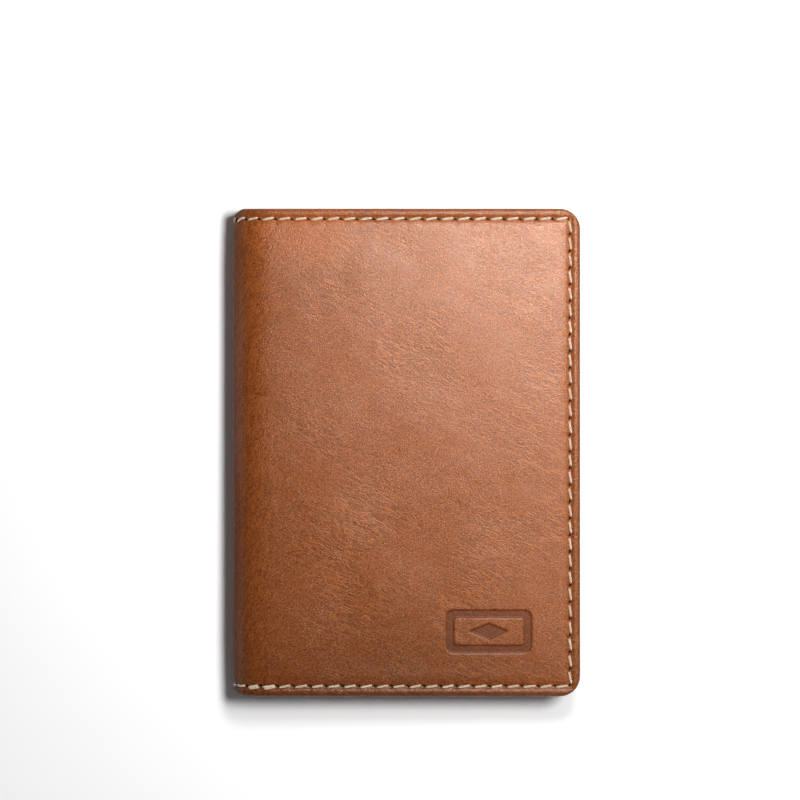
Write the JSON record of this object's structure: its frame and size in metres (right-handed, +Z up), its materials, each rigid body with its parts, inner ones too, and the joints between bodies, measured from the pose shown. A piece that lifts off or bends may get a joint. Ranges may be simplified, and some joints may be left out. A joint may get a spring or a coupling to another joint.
{
  "type": "card wallet",
  "caption": "Slim bifold leather card wallet, closed and lying flat, stitched turned edges, round fold, stepped card pockets inside.",
  "frame": {"origin": "centre of the resting face of the closed wallet, on the plane it lies on", "axes": "+Z up through the front cover, +Y towards the pocket mouths (the long side runs along Y), -X towards the fold, +X towards the open fore-edge"},
  "size_m": [0.0746, 0.105, 0.0104],
  "materials": {
    "cover_leather": "smooth tan leather, fine grain, soft satin sheen",
    "pocket_leather": "tan leather, satin",
    "lining_cloth": "woven brown lining, matt",
    "board": "pressed fibre board, hidden",
    "thread": "cream polyester thread"
  },
  "bodies": {
    "back_half": {"back_cover_leather": "cover_leather", "back_cover_board": "board", "back_lining": "lining_cloth", "back_slip_pocket_backing": "lining_cloth", "back_rear_card_pocket": "pocket_leather", "back_front_card_pocket": "pocket_leather", "back_cover_seam_thread": "thread", "back_inner_seam_thread": "thread", "back_pocket_side_thread": "thread"},
    "front_half": {"front_cover_leather": "cover_leather", "front_cover_board": "board", "front_lining": "lining_cloth", "front_slip_pocket_backing": "lining_cloth", "front_rear_card_pocket": "pocket_leather", "front_front_card_pocket": "pocket_leather", "front_cover_seam_thread": "thread", "front_inner_seam_thread": "thread", "front_pocket_side_thread": "thread"},
    "spine": {"spine_leather": "cover_leather", "spine_reinforcement": "board", "spine_lining": "lining_cloth", "spine_top_seam_thread": "thread", "spine_bottom_seam_thread": "thread"}
  },
  "joints": [
    {"name": "spine_fold_back", "type": "hinge", "parent": "back_half", "child": "spine", "pos_m": [-0.03584, 0, 0.00151], "axis": [0, -1, 0], "range_deg": [0, 90]},
    {"name": "spine_fold_front", "type": "hinge", "parent": "spine", "child": "front_half", "pos_m": [-0.03584, 0, 0.00889], "axis": [0, -1, 0], "range_deg": [0, 90]}
  ],
  "couplings": [
    {"joint": "spine_fold_front", "follows": "spine_fold_back", "ratio": 1}
  ]
}
